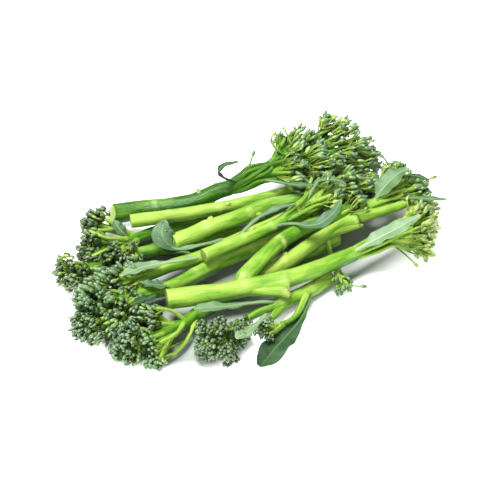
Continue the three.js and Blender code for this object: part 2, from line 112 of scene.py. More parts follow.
addStem(
    "outer_left", cut=4.8, fork=2.6, tone=0.45, look="tight", tint="purple",
    route=[(18, 21, 4.8), (-27, 0, 4.8), (-60, -7, 4.8), (-84, -21, 7), (-104, -33, 11)],
    clumps=[(-105.5, -33, 11, 11.5), (-96, -40, 12, 10.5)],
    nodes=[(0.39, (0, 0.3, 1), 0.8), (0.7, (0, -1, 0.5), 0.7)],
)
addStem(
    "rear_left", cut=4.8, fork=2.4, tone=0.5, look="tight", tint="purple",
    route=[(21, 46, 4.8), (-22, 24, 4.8), (-43.5, 17, 4.8), (-60, 9.5, 5), (-77.5, -5, 8), (-93, -14, 12)],
    clumps=[(-93, -14, 13, 12), (-92, 7, 15, 10.5), (-81, -20, 12, 10.5), (-71, -20, 11, 8.5, "open")],
    twigs=[((1.6, 0.9), [(-73, -3, 11), (-84, -10.5, 18), (-92, -10.5, 22), (-97.5, -8, 22)]),
           ((1.2, 0.7), [(-79, -11, 13), (-85.5, -24.5, 20), (-92, -29.5, 20)])],
    nodes=[(0.35, (0, 0.2, 1), 0.8), (0.6, (0, -1, 0.4), 0.8)],
    leaves=[
        blade(6, 0.2, 0.5, (-52, -4, 6), (-48, -13, 11), (-41, -16.5, 13), (-35, -18.5, 13), finish="dark"),
        blade(8, 0.2, 0.6, (-73, 0, 8), (-76, 1, 13), (-79, 3, 16), (-81, 6.5, 18)),
    ],
)
addStem(
    "middle_left", cut=4.8, fork=2.6, tone=-0.05, look="large", tint="blue",
    route=[(37.5, 26, 11.5), (-6, -3, 10.6), (-27, -16.5, 9.4), (-46, -26, 10), (-61, -38, 12),
           (-79, -48, 16)],
    clumps=[(-81, -49, 17, 12), (-72, -38, 15, 10, "open"), (-71, -56, 13, 9.5)],
    nodes=[(0.44, (0, -0.4, 1), 0.8)],
    leaves=[
        blade(9, 0.5, 0.7, (-28, -18, 10), (-38, -26.5, 15), (-49.5, -33, 18), (-61, -40, 21),
              (-69, -48, 24), (-74, -54, 26), finish="light"),
        blade(15, 0.62, 1.5, (-8, -5, 11), (-18, -8, 14), (-35, -14, 14), (-46, -15, 14.5), (-52, -9, 20),
              (-50, 1, 22.5), drops=14),
    ],
)
addStem(
    "front_left", cut=5.2, fork=3, tone=0.12, look="large", tint="blue",
    route=[(37, 14, 10.5), (9.5, -5, 10.2), (-16.5, -21, 9.2), (-44, -42.5, 8.6), (-63, -54, 11.5),
           (-86, -67, 16)],
    clumps=[(-87, -67, 17, 15), (-92, -80, 11, 12.5, "tight"), (-72.5, -71, 14, 12),
            (-80, -85, 10, 10, "tight")],
    twigs=[((1.1, 0.7), [(-69.5, -62, 16), (-74, -70, 23), (-79, -74, 26)])],
    nodes=[(0.3, (0, -0.5, 1), 0.8), (0.56, (0, 0.4, 1), 0.7)],
    leaves=[
        blade(8, 0.15, 0.7, (-46, -44, 10), (-50, -48.5, 14), (-56.5, -51, 17), (-63, -51, 19)),
        blade(7, 0.15, 0.6, (-53, -51, 10), (-57, -59, 14), (-62, -66, 18), (-67.5, -72, 20),
              finish="dark"),
    ],
)
addStem(
    "front", cut=5.2, fork=3, tone=0.42, look="beads", tint="blue",
    route=[(51.5, 5, 5.2), (7, -29, 5.2), (-25.5, -59, 5.2), (-42, -78.5, 8), (-62, -95, 13)],
    clumps=[(-64, -95, 13, 14), (-57, -79.5, 13.5, 11, "tight"), (-54, -103.5, 9, 10), (-71, -99, 9, 9)],
    twigs=[((1.4, 0.8), [(-37, -73, 9), (-44, -74, 17), (-53, -77, 22)]),
           ((1.7, 1.0), [(-37, -73.5, 8), (-41.5, -90, 14), (-50, -100, 17)]),
           ((1.4, 1.0), [(-30, -66, 6.5), (-35, -83.5, 5), (-42.5, -95, 4), (-52.5, -101, 6)])],
    nodes=[(0.5, (0, -0.6, 1), 0.8), (0.7, (0, 0.3, 1), 0.7)],
)
addStem(
    "front_middle", cut=4.4, fork=3.2, tone=0.3, look="beads", tint="grey", waist=0.43,
    route=[(46.5, -30, 4.6), (35, -42.5, 5.2), (17.5, -55.5, 6.5), (0, -71, 9.5), (-15, -95, 15)],
    clumps=[(-16, -96.5, 14.5, 16.5), (-4, -83, 12, 6.5, "open")],
    nodes=[(0.19, (0, 0.2, 1), 0.9), (0.44, (0, -0.4, 1), 1.2)],
    leaves=[
        blade(15.5, 0.2, 1.2, (35, -47, 6), (33, -56, 4.5), (28, -68, 3.6), (20.5, -80, 3),
              (13.5, -91, 2.6), (6, -104.5, 2.4), finish="dark", blunt=True),
        blade(8, 0.45, 0.5, (17, -56, 8), (7, -61, 12.5), (-3, -64.5, 14), (-14, -68, 15), (-25, -70, 16),
              (-32, -71, 16), finish="pale", blunt=True),
        blade(8, 0.45, 0.5, (9, -68, 9), (6, -80, 15), (2, -90.5, 20), (-2.5, -99.5, 24),
              (-7.5, -106, 25.5), finish="light", blunt=True),
    ],
    limbs=[((2.9, 2), [(23, -52.5, 6.2), (16.5, -61.5, 6.2), (12, -70, 7.5)])],
    shoots=[dict(
        root=2, clumps=[(10, -81, 9, 7.5)],
        route=[(33, -48, 7), (26, -66, 6), (17, -76, 8), (10, -81, 9)])],
)
addStem(
    "rear_right", cut=6.2, fork=2.6, tone=1.1, look="loose", tint="green", crown=0.4, slant=0.45, split=0.6,
    route=[(-84, 26.5, 6.4), (-67, 30.5, 6.4), (-54, 31.5, 6.8), (-38.5, 33.5, 8.5), (-28.5, 36, 11),
           (-19, 39.5, 14), (-7.5, 40, 18), (7, 44, 25), (31, 54, 32)],
    clumps=[(33, 56, 33, 14.5), (53, 70, 33, 15.5), (45, 46, 29, 14.5), (64, 60, 29, 14), (29, 40, 29, 11),
            (22, 64, 33, 7.5)],
    strays=[[(-4, 40.5, 19), (-1, 44, 28), (1.5, 49.5, 33)], [(21, 46.5, 36), (9.5, 56, 38),
            (13.5, 60.5, 40)], [(25.5, 53, 38), (21.5, 64.5, 41)], [(30.5, 54, 38), (28, 64.5, 41)],
            [(59.5, 53.5, 36), (66, 65.5, 38)]],
    nodes=[(0.22, (0, 0.5, 1), 0.8), (0.76, (0.2, -1, 0.2), 1.0)],
    leaves=[
        blade(5, 0.3, 0.3, (-8, 39, 21), (-15, 33, 29), (-19, 32, 34), (-15, 33, 39), (-7, 35, 40),
              finish="dark"),
        blade(5, 0.6, 0.4, (4, 41, 22), (11, 36, 25), (21, 29.5, 28), (30, 23.5, 31), (37.5, 20, 34)),
    ],
    scars=[dict(at=0.4, way=(-0.3, 0.2, 1))],
    spikes=[(0.47, (0.1, 0.5, 1), 5)],
)
addStem(
    "inner_right", cut=4.2, fork=2.8, tone=0.08, look="loose", tint="green", crown=0.4, split=0.7,
    route=[(-71.5, 10, 14.2), (-48, 14.7, 14.2), (-20, 22, 14.2), (0, 29, 14), (30, 41, 14.5),
           (65, 58, 15)],
    clumps=[(66, 58, 15, 13.5), (73, 64, 17, 11), (61, 46, 13, 12)],
    nodes=[(0.37, (0.2, -0.4, 1), 1.0), (0.16, (0, 0.3, 1), 0.6)],
    scars=[dict(at=0.37, way=(0.4, -0.2, 1))],
)
addStem(
    "middle_right", cut=5.4, fork=2.6, tone=0.18, look="loose", tint="green", crown=0.3,
    route=[(-45.5, -9.8, 14), (-35.5, -4.8, 14.6), (-26.5, 0.5, 15.4), (-6, 11, 16.6), (7, 19, 17.2),
           (21, 23.5, 18), (57.5, 29.5, 21)],
    clumps=[(60.5, 32, 20, 11), (71, 38, 17, 11)],
    nodes=[(0.2, (0, 0.2, 1), 1.0), (0.45, (0.2, -0.8, 0.5), 1.0)],
    scars=[dict(at=0.18, way=(-0.2, 0.4, 1)), dict(at=0.45, way=(0.4, -0.8, 0))],
)
addStem(
    "top_right", cut=4.2, fork=2.6, tone=0.28, look="loose", tint="green", crown=0.35, split=0.62,
    route=[(-27, -28, 19), (-6, -15.5, 19.6), (14, -3, 21), (31, 9, 25), (48, 20, 29)],
    clumps=[(49, 21, 29, 10), (42, 31, 29, 9), (56, 35, 27, 10)],
    nodes=[(0.3, (0, 0.5, 1), 1.0), (0.52, (0, -0.5, 1), 1.0), (0.88, (0, 0.5, 1), 0.8)],
    leaves=[
        blade(9, 0.35, 0.7, (13, -4, 21), (20, -6, 25), (26.5, -8.5, 27.5), (34, -13, 29.5), (42, -12, 31),
              (49.5, -5, 33.5), (54, 4, 36), finish="mid"),
        blade(4.5, 0.3, 0.4, (34, 14, 28), (39.5, 21, 34), (44, 21, 37.5), (51, 18.5, 39),
              (57, 15.5, 38.5)),
        blade(4.5, 0.5, 0.5, (-7, -13, 21), (4, -3, 26.5), (15, 3, 29), (27, 6, 31)),
    ],
    spikes=[(0.3, (0.3, 0.6, 1), 5)],
)
addStem(
    "outer_right", cut=4.8, fork=2.4, tone=0.05, look="loose", tint="green", crown=0.28, split=0.77,
    route=[(7, -38.5, 12), (23.5, -25.5, 13.8), (47.5, -0.5, 15.4), (66.5, 14, 16.8), (75.5, 22.5, 17.5),
           (99, 33, 19)],
    clumps=[(102, 33, 18, 9.5), (90.5, 47, 21, 9.5), (97, 41, 19, 9), (84, 49, 21, 6.5)],
    strays=[[(86, 52, 22), (82, 57, 26)], [(103, 35, 22), (110.5, 39.5, 24)]],
    nodes=[(0.14, (-0.2, 0.3, 1), 1.0), (0.61, (0.4, -1, 0.3), 1.0), (0.77, (0, 0, 1), 1.0)],
    leaves=[
        blade(14, 0.2, 0.9, (74, 21.5, 18), (78, 25, 24), (84.5, 30.5, 29), (90.5, 34.5, 32),
              (96, 36.5, 34), finish="pale"),
        blade(4.5, 0.3, 0.3, (90, 26, 18.5), (98, 20, 24), (108, 14.5, 27.5), (117.5, 14, 28)),
        blade(4, 0.3, 0.3, (91, 42, 24), (98, 37, 28), (102.5, 33.5, 29.5), (108, 30.5, 29.5),
              finish="dark"),
    ],
    scars=[dict(at=0.44, way=(0.55, -0.8, -0.15), heel=22), dict(at=0.12, way=(-0.4, 0.5, 1))],
    limbs=[((3.5, 2.3), [(64, 11, 16.4), (77, 15, 17), (86.5, 18.5, 17.5), (96, 23, 18)])],
    twigs=[((1.6, 1.0), [(49, -24, 8), (51, -31, 9), (52, -37, 10)]),
           ((1.2, 0.8), [(50, -28, 6), (53, -34, 7), (56.5, -38, 7)])],
    shoots=[dict(
        root=1.6, clumps=[(54, -40, 7, 6.5)], look="open", tint="green", tone=0,
        strays=[[(52, -37.5, 7), (58, -42, 8), (64.5, -42.5, 8)]],
        route=[(46, -2, 14), (48, -9, 4.5), (52, -21, 4), (54, -38, 6)])],
)
addStem(
    "front_right", cut=5.9, fork=2.6, tone=0.18, look="loose", tint="yellow", crown=0.34, split=0.69,
    route=[(-47.5, -62.5, 15.6), (-19.5, -57, 15.8), (0, -52, 16), (29, -41, 15.8), (58.5, -23, 15),
           (82, -7, 14.5), (103, 8, 15)],
    clumps=[(104, 9, 16, 11.5), (103, -4.5, 10, 9.5), (105, 21, 17, 10), (96.5, 2.5, 12, 9.5)],
    strays=[[(101, -5, 12), (107.5, -15, 11)], [(96.5, -4, 9), (103, -17, 8)], [(85, -6, 9), (97, -19, 6)]],
    nodes=[(0.27, (0, 0.5, 1), 1.0), (0.41, (0.2, -1, 0.2), 0.9), (0.7, (0, 0.3, 1), 1.0)],
    leaves=[
        blade(12, 0.2, 0.7, (59, -23, 17), (68, -21, 22), (79, -17, 26), (88, -13.5, 29), (95, -9.5, 31),
              (100.5, -6, 32), finish="light"),
    ],
    scars=[dict(at=0.27, way=(0.1, -1, -0.2), heel=25)],
    shoots=[dict(
        root=5.2, clumps=[(62, 18, 18, 11)], tint="green", tone=0.4,
        nodes=[(0.07, (0, -1, 0.4), 1.2), (0.42, (0.6, -0.6, 0.6), 1.4)],
        route=[(-6, -53, 16), (-2, -45, 19), (8, -33, 22.2), (20, -17, 22.5), (33.5, -5, 21.5),
               (48, 5, 20), (60, 15, 19)])],
)

lobeReach = 0.52  # how far out a lobe's middle sits, as a share of the clump's radius
lobeRadius = 0.54
lineStep = 1.6 * mm
# Radii at both ends, in mm
branchRadius = (2.1, 1.5)
twigRadius = (1.5, 1.0)
bundleRadius = (1.75, 0.9)


def spotOf(point):
    return Vector((point[0] - bunchMiddle[0], point[1] - bunchMiddle[1], point[2])) * mm


def scatter(seed, k):  # a repeatable number between -1 and 1
    wave = abs(math.sin(seed * 12.9898 + k * 78.233)) * 43758.5453
    return 2 * (wave - math.floor(wave)) - 1


def mix(a, b, share):
    return a + (b - a) * share


def clamp(value, low=0.0, high=1.0):
    return max(low, min(high, value))


def compass(around):
    return Vector((math.cos(around), math.sin(around), 0))


def shake(draw):
    return Vector((draw.uniform(-1, 1), draw.uniform(-1, 1), draw.uniform(-1, 1)))


def evenly(points, step):  # the same line with its points the same distance apart
    lengths = [0.0]
    for a, b in zip(points, points[1:]):
        lengths.append(lengths[-1] + (b - a).length)
    count = max(2, round(lengths[-1] / step))
    line, k = [], 0
    for i in range(count + 1):
        target = lengths[-1] * i / count
        while k < len(points) - 2 and lengths[k + 1] < target:
            k += 1
        span = max(1e-9, lengths[k + 1] - lengths[k])
        line.append(points[k].lerp(points[k + 1], clamp((target - lengths[k]) / span)))
    return line


def lineThrough(spots, step):
    ends = [spots[0] * 2 - spots[1], *spots, spots[-1] * 2 - spots[-2]]
    fine = []
    for a, b, c, d in zip(ends, ends[1:], ends[2:], ends[3:]):
        for k in range(24):
            t = k / 24
            straight, bent, last = 2 * b + (c - a) * t, 2 * a - 5 * b + 4 * c - d, 3 * b - a - 3 * c + d
            fine.append(0.5 * (straight + bent * t * t + last * t ** 3))
    fine.append(spots[-1].copy())
    return evenly(fine, step)


def routeLine(route, step=lineStep):
    return lineThrough([spotOf(p) for p in route], step)


def bendThrough(start, bend, end, steps):
    return [start.lerp(bend, k / steps).lerp(bend.lerp(end, k / steps), k / steps) for k in range(steps + 1)]


def framesAlong(line):
    frames, side = [], None
    for i, point in enumerate(line):
        ahead = (line[min(i + 1, len(line) - 1)] - line[max(i - 1, 0)]).normalized()
        if side is None:
            side = ahead.cross(up) if ahead.cross(up).length > 0.1 else ahead.orthogonal()
        side = (side - ahead * side.dot(ahead)).normalized()
        turn = Matrix((side, ahead.cross(side), ahead)).transposed().to_4x4()
        turn.translation = point
        frames.append(turn)
    return frames


def growTube(bm, line, radii, sides):  # a ring extruded along the line; returns the rings and their frames
    frames = framesAlong(line)
    places = [f @ Matrix.Diagonal((r, r, 1, 1)) for f, r in zip(frames, radii)]
    ring = bmesh.ops.create_circle(bm, cap_ends=True, radius=1, segments=sides, matrix=places[0])["verts"]
    edges = list({e for v in ring for e in v.link_edges})
    rings = [ring]
    for before, after in zip(places, places[1:]):
        grown = bmesh.ops.extrude_edge_only(bm, edges=edges)["geom"]
        ring = [g for g in grown if isinstance(g, bmesh.types.BMVert)]
        edges = [g for g in grown if isinstance(g, bmesh.types.BMEdge)]
        bmesh.ops.transform(bm, matrix=after @ before.inverted(), verts=ring)
        rings.append(ring)
    bmesh.ops.contextual_create(bm, geom=edges)
    return rings, frames


def unroll(frame, v):  # a vertex of a ring seen from the ring's frame, and the angle that it stands at
    local = frame.inverted() @ v.co
    return local, math.atan2(local.y, local.x)


def newLayers(bm, *names):
    return [bm.verts.layers.float_vector.new(name) for name in names]


def smoothFaces(bm, corners=math.inf):  # faces with more corners stay flat
    for f in bm.faces:
        f.smooth = len(f.verts) <= corners


def meshOf(bm, name):
    mesh = bpy.data.meshes.new(name)
    bm.to_mesh(mesh)
    bm.free()
    return mesh


def addObject(name, data):
    item = bpy.data.objects.new(name, data)
    bpy.context.scene.collection.objects.link(item)
    return item


def pourInto(whole, part):  # adds a small bmesh to a large one and clears it
    mesh = meshOf(part, "part")
    whole.from_mesh(mesh)
    bpy.data.meshes.remove(mesh)


def addCopy(bm, mesh):  # adds a ready shape and returns its vertices
    start = len(bm.verts)
    bm.from_mesh(mesh)
    bm.verts.ensure_lookup_table()
    return bm.verts[start:]


def finishPiece(bm, name, materials, nodes):
    bmesh.ops.recalc_face_normals(bm, faces=bm.faces)
    piece = addObject(name, meshOf(bm, name))
    for material in materials:
        piece.data.materials.append(material)
    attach(piece, "root")
    if nodes:
        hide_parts(*nodes)
    return piece


# Materials

surfaceShare = 0.72  # the lamps over-expose the floor, so every surface is that much darker


def srgb(red, green, blue):
    shares = (red / 255, green / 255, blue / 255)
    linear = [c / 12.92 if c <= 0.04045 else ((c + 0.055) / 1.055) ** 2.4 for c in shares]
    return tuple(c * surfaceShare for c in linear) + (1,)


class NodeSheet:  # a short way to lay out a material's nodes
    def __init__(self, name):
        self.material = bpy.data.materials.new(name)
        self.material.use_nodes = True
        self.tree = self.material.node_tree
        self.shader = self.tree.nodes["Principled BSDF"]

    def plug(self, node, inputs):  # joins sockets and sets plain values
        for key, value in inputs.items():
            if isinstance(value, bpy.types.NodeSocket):
                self.tree.links.new(value, node.inputs[key])
            else:
                node.inputs[key].default_value = value
        return node

    def add(self, kind, inputs, **settings):
        node = self.tree.nodes.new(kind)
        for key, value in settings.items():
            setattr(node, key, value)
        return self.plug(node, inputs)

    def attribute(self, name):
        return self.add("ShaderNodeAttribute", {}, attribute_name=name).outputs["Vector"]

    def place(self):
        return self.add("ShaderNodeTexCoord", {}).outputs["Object"]

    def split(self, vector):
        return self.add("ShaderNodeSeparateXYZ", {"Vector": vector}).outputs

    def noise(self, vector, scale, detail=3.0, rough=0.55):
        inputs = {"Vector": vector, "Scale": scale, "Detail": detail, "Roughness": rough}
        return self.add("ShaderNodeTexNoise", inputs).outputs["Fac"]

    def stretch(self, vector, scale):
        return self.add("ShaderNodeMapping", {"Vector": vector, "Scale": scale}).outputs["Vector"]

    def math(self, operation, a, b=0.5):
        return self.add("ShaderNodeMath", {0: a, 1: b}, operation=operation).outputs[0]

    def span(self, value, low, high, toLow=0.0, toHigh=1.0):
        inputs = {"Value": value, "From Min": low, "From Max": high, "To Min": toLow, "To Max": toHigh}
        return self.add("ShaderNodeMapRange", inputs).outputs["Result"]

    def blend(self, share, a, b):
        return self.add("ShaderNodeMix", {0: share, 6: a, 7: b}, data_type="RGBA").outputs[2]

    def coats(self, colour, *layers):  # colours laid over one another, each with its share
        for share, coat in layers:
            colour = self.blend(share, colour, coat)
        return colour

    def bump(self, height, distance, strength=1.0):
        inputs = {"Height": height, "Distance": distance, "Strength": strength}
        self.plug(self.shader, {"Normal": self.add("ShaderNodeBump", inputs).outputs["Normal"]})

    def finish(self, colour, roughness, **others):
        self.plug(self.shader, {"Base Color": colour, "Roughness": roughness, **others})
        return self.material


skinColours = {
    "lime": srgb(180, 216, 88),
    "green": srgb(116, 176, 44),
    "deep": srgb(52, 112, 12),
    "scar": srgb(210, 230, 134),
    "pith": srgb(162, 200, 82),
}


def makeSkin():  # stalks: waxy, streaked along their length, pale at the nodes and the cut; the tone carries painted shade on the undersides, and the thin pale streaks are partly painted highlight
    sheet = NodeSheet("stalkSkin")
    grain = sheet.attribute("grain")
    tone, pale, cut = sheet.split(sheet.attribute("skin"))
    streak = sheet.noise(sheet.stretch(grain, (6, 6, 70)), 1.0, 5, 0.6)
    patch = sheet.noise(sheet.stretch(grain, (1.4, 1.4, 60)), 1.0, 3)
    speck = sheet.noise(sheet.stretch(grain, (9, 9, 420)), 1.0, 3)
    # the tone attribute carries painted shade: deeper green on the undersides
    shade = sheet.math("ADD", tone, sheet.span(patch, 0.32, 0.68, -0.3, 0.34))
    shade = sheet.math("ADD", shade, sheet.span(streak, 0.3, 0.7, -0.14, 0.16))
    worn = sheet.math("MULTIPLY", pale, sheet.span(speck, 0.3, 0.6, 0.35, 0.95))
    # painted highlight in part: the thin pale speck streaks in the scar colour stand in for streaks of light
    # along the skin, besides the skin's own pale streaks
    colour = sheet.coats(skinColours["lime"],
                         (sheet.span(shade, 0.0, 0.6), skinColours["green"]),
                         (sheet.span(shade, 0.5, 1.2), skinColours["deep"]),
                         (sheet.span(speck, 0.55, 0.75, 0.0, 0.22), skinColours["scar"]),
                         (worn, skinColours["scar"]),
                         (cut, skinColours["pith"]))
    height = sheet.math("ADD", streak, sheet.math("MULTIPLY", speck, 0.4))
    sheet.bump(height, 0.0005, 0.7)
    shine = {"Specular IOR Level": 0.26, "Subsurface Weight": 0.06, "Subsurface Scale": 0.002}
    return sheet.finish(colour, sheet.span(streak, 0.3, 0.7, 0.24, 0.4), **shine)


# Dark, bloom, base, base of the darker buds (painted shade between the buds, near-black in the blue, grey and
# purple tints) and tip, and how far up the bud the base colour reaches
budColours = {
    "blue": ((26, 60, 20), (166, 206, 150), (190, 226, 80), (18, 42, 12), (124, 166, 112), 0.55),
    "grey": ((26, 56, 24), (132, 168, 114), (190, 224, 88), (18, 40, 14), (142, 170, 122), 0.55),
    "purple": ((38, 66, 32), (158, 190, 130), (190, 226, 84), (20, 40, 16), (104, 116, 98), 0.55),
    "green": ((50, 98, 40), (160, 196, 134), (206, 236, 92), (150, 196, 60), (122, 162, 128), 0.42),
    "yellow": ((78, 126, 48), (196, 218, 128), (218, 238, 118), (190, 216, 90), (182, 204, 128), 0.45),
}


def makeBud(tint):  # buds: pale at the base, with a grey bloom and a coloured tip; low-chance buds take a darker base as painted shade between buds, and the bloom's mottle is partly painted highlight
    *colours, baseEnd = budColours[tint]
    dark, bloom, base, paintedShadeBase, tip = (srgb(*c) for c in colours)
    sheet = NodeSheet("buds_" + tint)
    chance, along, seam = sheet.split(sheet.attribute("bud"))
    # painted highlight in part: the mottle lays the grey bloom on in bright patches that also stand in for
    # highlights
    mottle = sheet.noise(sheet.place(), 600, 2)
    # painted shade: low-chance buds take the darker base, which stands for the shade between buds
    foot = sheet.blend(sheet.span(chance, 0.55, 0.7), paintedShadeBase, base)
    colour = sheet.coats(dark,
                         (sheet.span(chance, 0.1, 0.9, 0.0, 0.8), bloom),
                         (sheet.span(mottle, 0.44, 0.62, 0.0, 0.65), bloom),
                         (sheet.span(along, baseEnd, 0.12), foot),
                         (sheet.span(along, 0.75, 1.0, 0.0, 0.75), tip),
                         (sheet.span(seam, 0.5, 1.0, 0.0, 0.35), dark),
                         (sheet.span(chance, 0.82, 0.94, 0.0, 0.55), base))
    sheet.bump(mottle, 0.0001, 0.4)
    return sheet.finish(colour, 0.34, **{"Specular IOR Level": 0.65})


# painted shade: near-black colour laid towards the heart of a head, where shade falls between the umbels
paintedHeartShade = srgb(16, 34, 10)


def makeTwig(name, light, shade):  # pedicels and twigs, and the cores of the heads, darkened towards the heart with painted shade
    sheet = NodeSheet(name)
    tone, heart, _ = sheet.split(sheet.attribute("skin"))
    wander = sheet.span(sheet.noise(sheet.place(), 220), 0.3, 0.7, -0.2, 0.2)
    # painted shade: the heart share blends towards the near-black heart colour
    colour = sheet.coats(light, (sheet.math("ADD", tone, wander), shade), (heart, paintedHeartShade))
    sheet.bump(sheet.noise(sheet.place(), 700, 2), 0.0006, 0.6)
    return sheet.finish(colour, 0.45, **{"Specular IOR Level": 0.3})


leafColours = {  # base, patches, veins
    "mid": ((76, 114, 72), (102, 140, 96), (134, 168, 112)),
    "pale": ((94, 134, 82), (120, 158, 104), (150, 182, 122)),
    "light": ((126, 162, 114), (150, 184, 138), (180, 208, 158)),
    "dark": ((44, 82, 42), (66, 106, 62), (98, 138, 80)),
}


def makeLeaf(name):  # leaves: matt grey-green with a pale midrib and side veins
    base, patchy, vein = (srgb(*c) for c in leafColours[name])
    sheet = NodeSheet("leaf_" + name)
    across, along, width = sheet.split(sheet.attribute("blade"))
    soft = sheet.noise(sheet.place(), 160, 4)
    fine = sheet.noise(sheet.place(), 900, 2)
    side = sheet.math("ABSOLUTE", across)
    slope = sheet.math("SUBTRACT", along, sheet.math("MULTIPLY", side, 0.09))
    wobble = sheet.math("ADD", slope, sheet.span(soft, 0.3, 0.7, -0.006, 0.006))
    ribs = sheet.math("ABSOLUTE", sheet.math("SINE", sheet.math("MULTIPLY", wobble, 42.0)))
    ribLine = sheet.math("MULTIPLY", sheet.span(ribs, 0.13, 0.0), sheet.span(side, 1.0, 0.6))
    midLine = sheet.math("MULTIPLY", sheet.span(side, 0.1, 0.02), 0.8)
    lines = sheet.math("MAXIMUM", midLine, sheet.math("MULTIPLY", ribLine, 0.4))
    colour = sheet.coats(base,
                         (sheet.span(soft, 0.35, 0.7), patchy),
                         (sheet.span(fine, 0.4, 0.8, 0.0, 0.25), patchy),
                         (lines, vein),
                         (sheet.span(width, 0.35, 0.12), vein))
    height = sheet.math("ADD", sheet.math("MULTIPLY", lines, -0.6), sheet.math("MULTIPLY", soft, 0.5))
    sheet.bump(height, 0.0004, 0.5)
    return sheet.finish(colour, 0.5, **{"Specular IOR Level": 0.4})


def makeWater():
    clear = {"IOR": 1.33, "Transmission Weight": 1.0}
    return NodeSheet("waterDrop").finish((0.95, 1, 0.97, 1), 0.03, **clear)


skinMaterial = makeSkin()
budMaterials = {tint: makeBud(tint) for tint in budColours}
twigMaterials = {
    "tight": makeTwig("twigTight", srgb(190, 220, 88), srgb(112, 156, 56)),
    "loose": makeTwig("twigLoose", srgb(184, 216, 92), srgb(104, 152, 52)),
}
leafMaterials = {name: makeLeaf(name) for name in leafColours}
waterMaterial = makeWater()
print("materials made")


# Lines of stalks and shoots, with their radii, and the clumps of every head

waistLoss = 0.42  # the share of its radius that a stalk loses at a waist
splitRest = 0.42  # the share that it keeps where it splits into branches
waistLength, splitLength = 0.08, 0.14  # shares of the stalk over which it narrows
never = 2  # a share that no stalk reaches


def stalkRadius(stem, share):
    waist = 1 - waistLoss * clamp((share - stem.get("waist", never)) / waistLength)
    return waist * mix(stem["cut"], stem["fork"], 0.5 * share + 0.5 * share ** 4) * mm


def lobesOf(middle, radius, axis, seed):  # the first lobe on the clump's axis, the others round it
    turn = up.rotation_difference(axis)
    count = round(3 + radius / mm / 3)
    lobes = []
    for i in range(count):
        lean = math.radians(118) * math.sqrt(i / (count - 1))
        around = i * goldenAngle + seed + 0.3 * scatter(seed, i)
        way = Vector((math.sin(lean) * math.sin(around), math.sin(lean) * math.cos(around), math.cos(lean)))
        way = turn @ way
        size = lobeRadius * radius * (1 + 0.12 * scatter(seed, i + 20))
        lobes.append({"way": way, "middle": middle + way * lobeReach * radius, "radius": size})
    return lobes


def clumpsOf(part):
    line = routeLine(part["route"], mm)
    clumps = []
    for i, (x, y, z, size, *own) in enumerate(part["clumps"]):
        middle, radius = spotOf((x, y, z)), size * mm
        ask = radius * 1.5 + (0.8 * (middle - line[-1]).length if i else 0)
        most = (len(line) - 1) * mm * part.get("crown", 0.9) * (1 - 0.1 * i)
        spot = round(len(line) - 1 - min(ask, most) / mm)
        root = line[spot]
        axis = (middle - root).normalized()
        seed = part["seed"] + 0.37 * i
        clumps.append({"middle": middle, "radius": radius, "root": root, "axis": axis, "seed": seed,
                       "rootShare": spot / (len(line) - 1), "look": own[0] if own else part["look"],
                       "lobes": lobesOf(middle, radius, axis, seed)})
    return clumps


parts = []
for stemName, stem in stems.items():
    own = {**stem, "name": stemName, "stem": stemName, "isShoot": False}
    own["line"] = routeLine(stem["route"])
    own["radii"] = []
    for i in range(len(own["line"])):
        share = i / (len(own["line"]) - 1)
        past = clamp((share - stem.get("split", never)) / splitLength)
        own["radii"].append(stalkRadius(stem, share) * mix(1, splitRest, past))
    parts.append(own)
    for shoot in stem.get("shoots", []):
        young = {"look": stem["look"], "tint": stem["tint"], "tone": stem["tone"], **shoot, "isShoot": True}
        young.update(name=stemName + "_shoot", stem=stemName, seed=stem["seed"] + 0.5)
        young["line"] = routeLine(shoot["route"])
        count = len(young["line"])
        young["radii"] = [shoot["root"] * mm * (1 - 0.3 * i / (count - 1)) for i in range(count)]
        parts.append(young)
for part in parts:
    part["bunch"] = clumpsOf(part)


def stalksNear(middle, reach):
    near = []
    for part in parts:
        near += [(s, r) for s, r in zip(part["line"], part["radii"]) if (s - middle).length < reach + r]
    return near


def insideHead(point, others, room):
    for clump in others:
        far = (point - clump["middle"]).length
        if far > clump["radius"] * 1.3:
            continue
        if far < 0.72 * clump["radius"] - room:
            return True
        if any((point - lobe["middle"]).length < lobe["radius"] - room for lobe in clump["lobes"]):
            return True
    return False


def isLoose(part):
    return part["look"] in ("loose", "open")


def branchesOf(part):  # one to each clump beside the stalk, and one to each lobe of every clump
    branches = []
    for i, clump in enumerate(part["bunch"]):
        start, middle, radius = clump["root"], clump["middle"], clump["radius"]
        aside = clump["axis"].cross(up) * 0.2 * radius * scatter(clump["seed"], 7)
        if i:
            branches.append((start, middle.lerp(start, 0.5) + aside, middle, branchRadius))
        for j, lobe in enumerate(clump["lobes"]):
            root = start.lerp(middle, (0.12 if isLoose(part) else 0.2) * (j % 4))
            bend = root.lerp(lobe["middle"], 0.5) + lobe["way"] * 0.15 * radius
            branches.append((root, bend, lobe["middle"], twigRadius))
    return branches


def bundleOf(part):  # long branches that leave the stalk where it splits and run beside it to the clumps
    if "split" not in part:
        return []
    line, frames, branches = part["line"], framesAlong(part["line"]), []
    last = len(line) - 1
    for i in range(2 * len(part["bunch"])):
        clump = part["bunch"][i // 2]
        away = max(clump["rootShare"], part["split"] + 0.15)
        around = i * goldenAngle + part["seed"]
        spots = []
        for k in range(4):
            spot = round(last * mix(part["split"] - 0.04, away, k / 3))
            thick = stalkRadius(part, spot / last)
            aside = compass(around) * thick * (0.25, 0.8, 1.15, 1.4)[k]
            spots.append(frames[spot] @ aside)
        aim = clump["lobes"][(3 * i + 1) % len(clump["lobes"])]["middle"]
        spots.append(spots[-1].lerp(aim, 0.5) + (spots[-1] - line[round(last * away)]) * 0.6)
        spots.append(aim)
        branches.append(lineThrough(spots, 2 * mm))
    return branches


# Stalks

